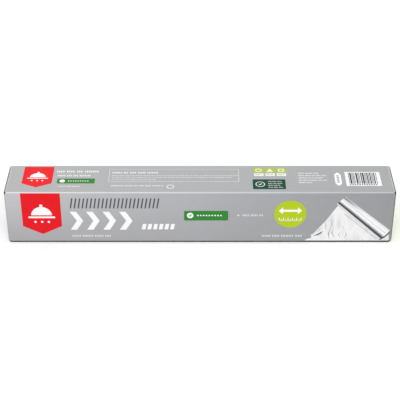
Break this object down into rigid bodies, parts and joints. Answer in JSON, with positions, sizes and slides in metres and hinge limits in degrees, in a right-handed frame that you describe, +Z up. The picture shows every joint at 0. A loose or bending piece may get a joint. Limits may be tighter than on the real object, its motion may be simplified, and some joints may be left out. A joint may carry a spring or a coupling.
{
  "type": "boxed catering foil",
  "caption": "Long sealed board carton of catering foil, with a serrated steel cutting strip under the lower edge of its front flap.",
  "frame": {"origin": "middle of the base, where the carton rests", "axes": "+X along the carton, -Y out of the front flap, +Z up through the lid"},
  "size_m": [0.462, 0.06, 0.072],
  "materials": {
    "printed_board": "silver-grey print under a satin varnish",
    "blade_steel": "rolled steel strip with punched teeth",
    "print_ink": "printed fields of colour under a satin varnish"
  },
  "bodies": {
    "root": {"carton": "printed_board", "cutter_blade": "blade_steel"}
  },
  "joints": []
}
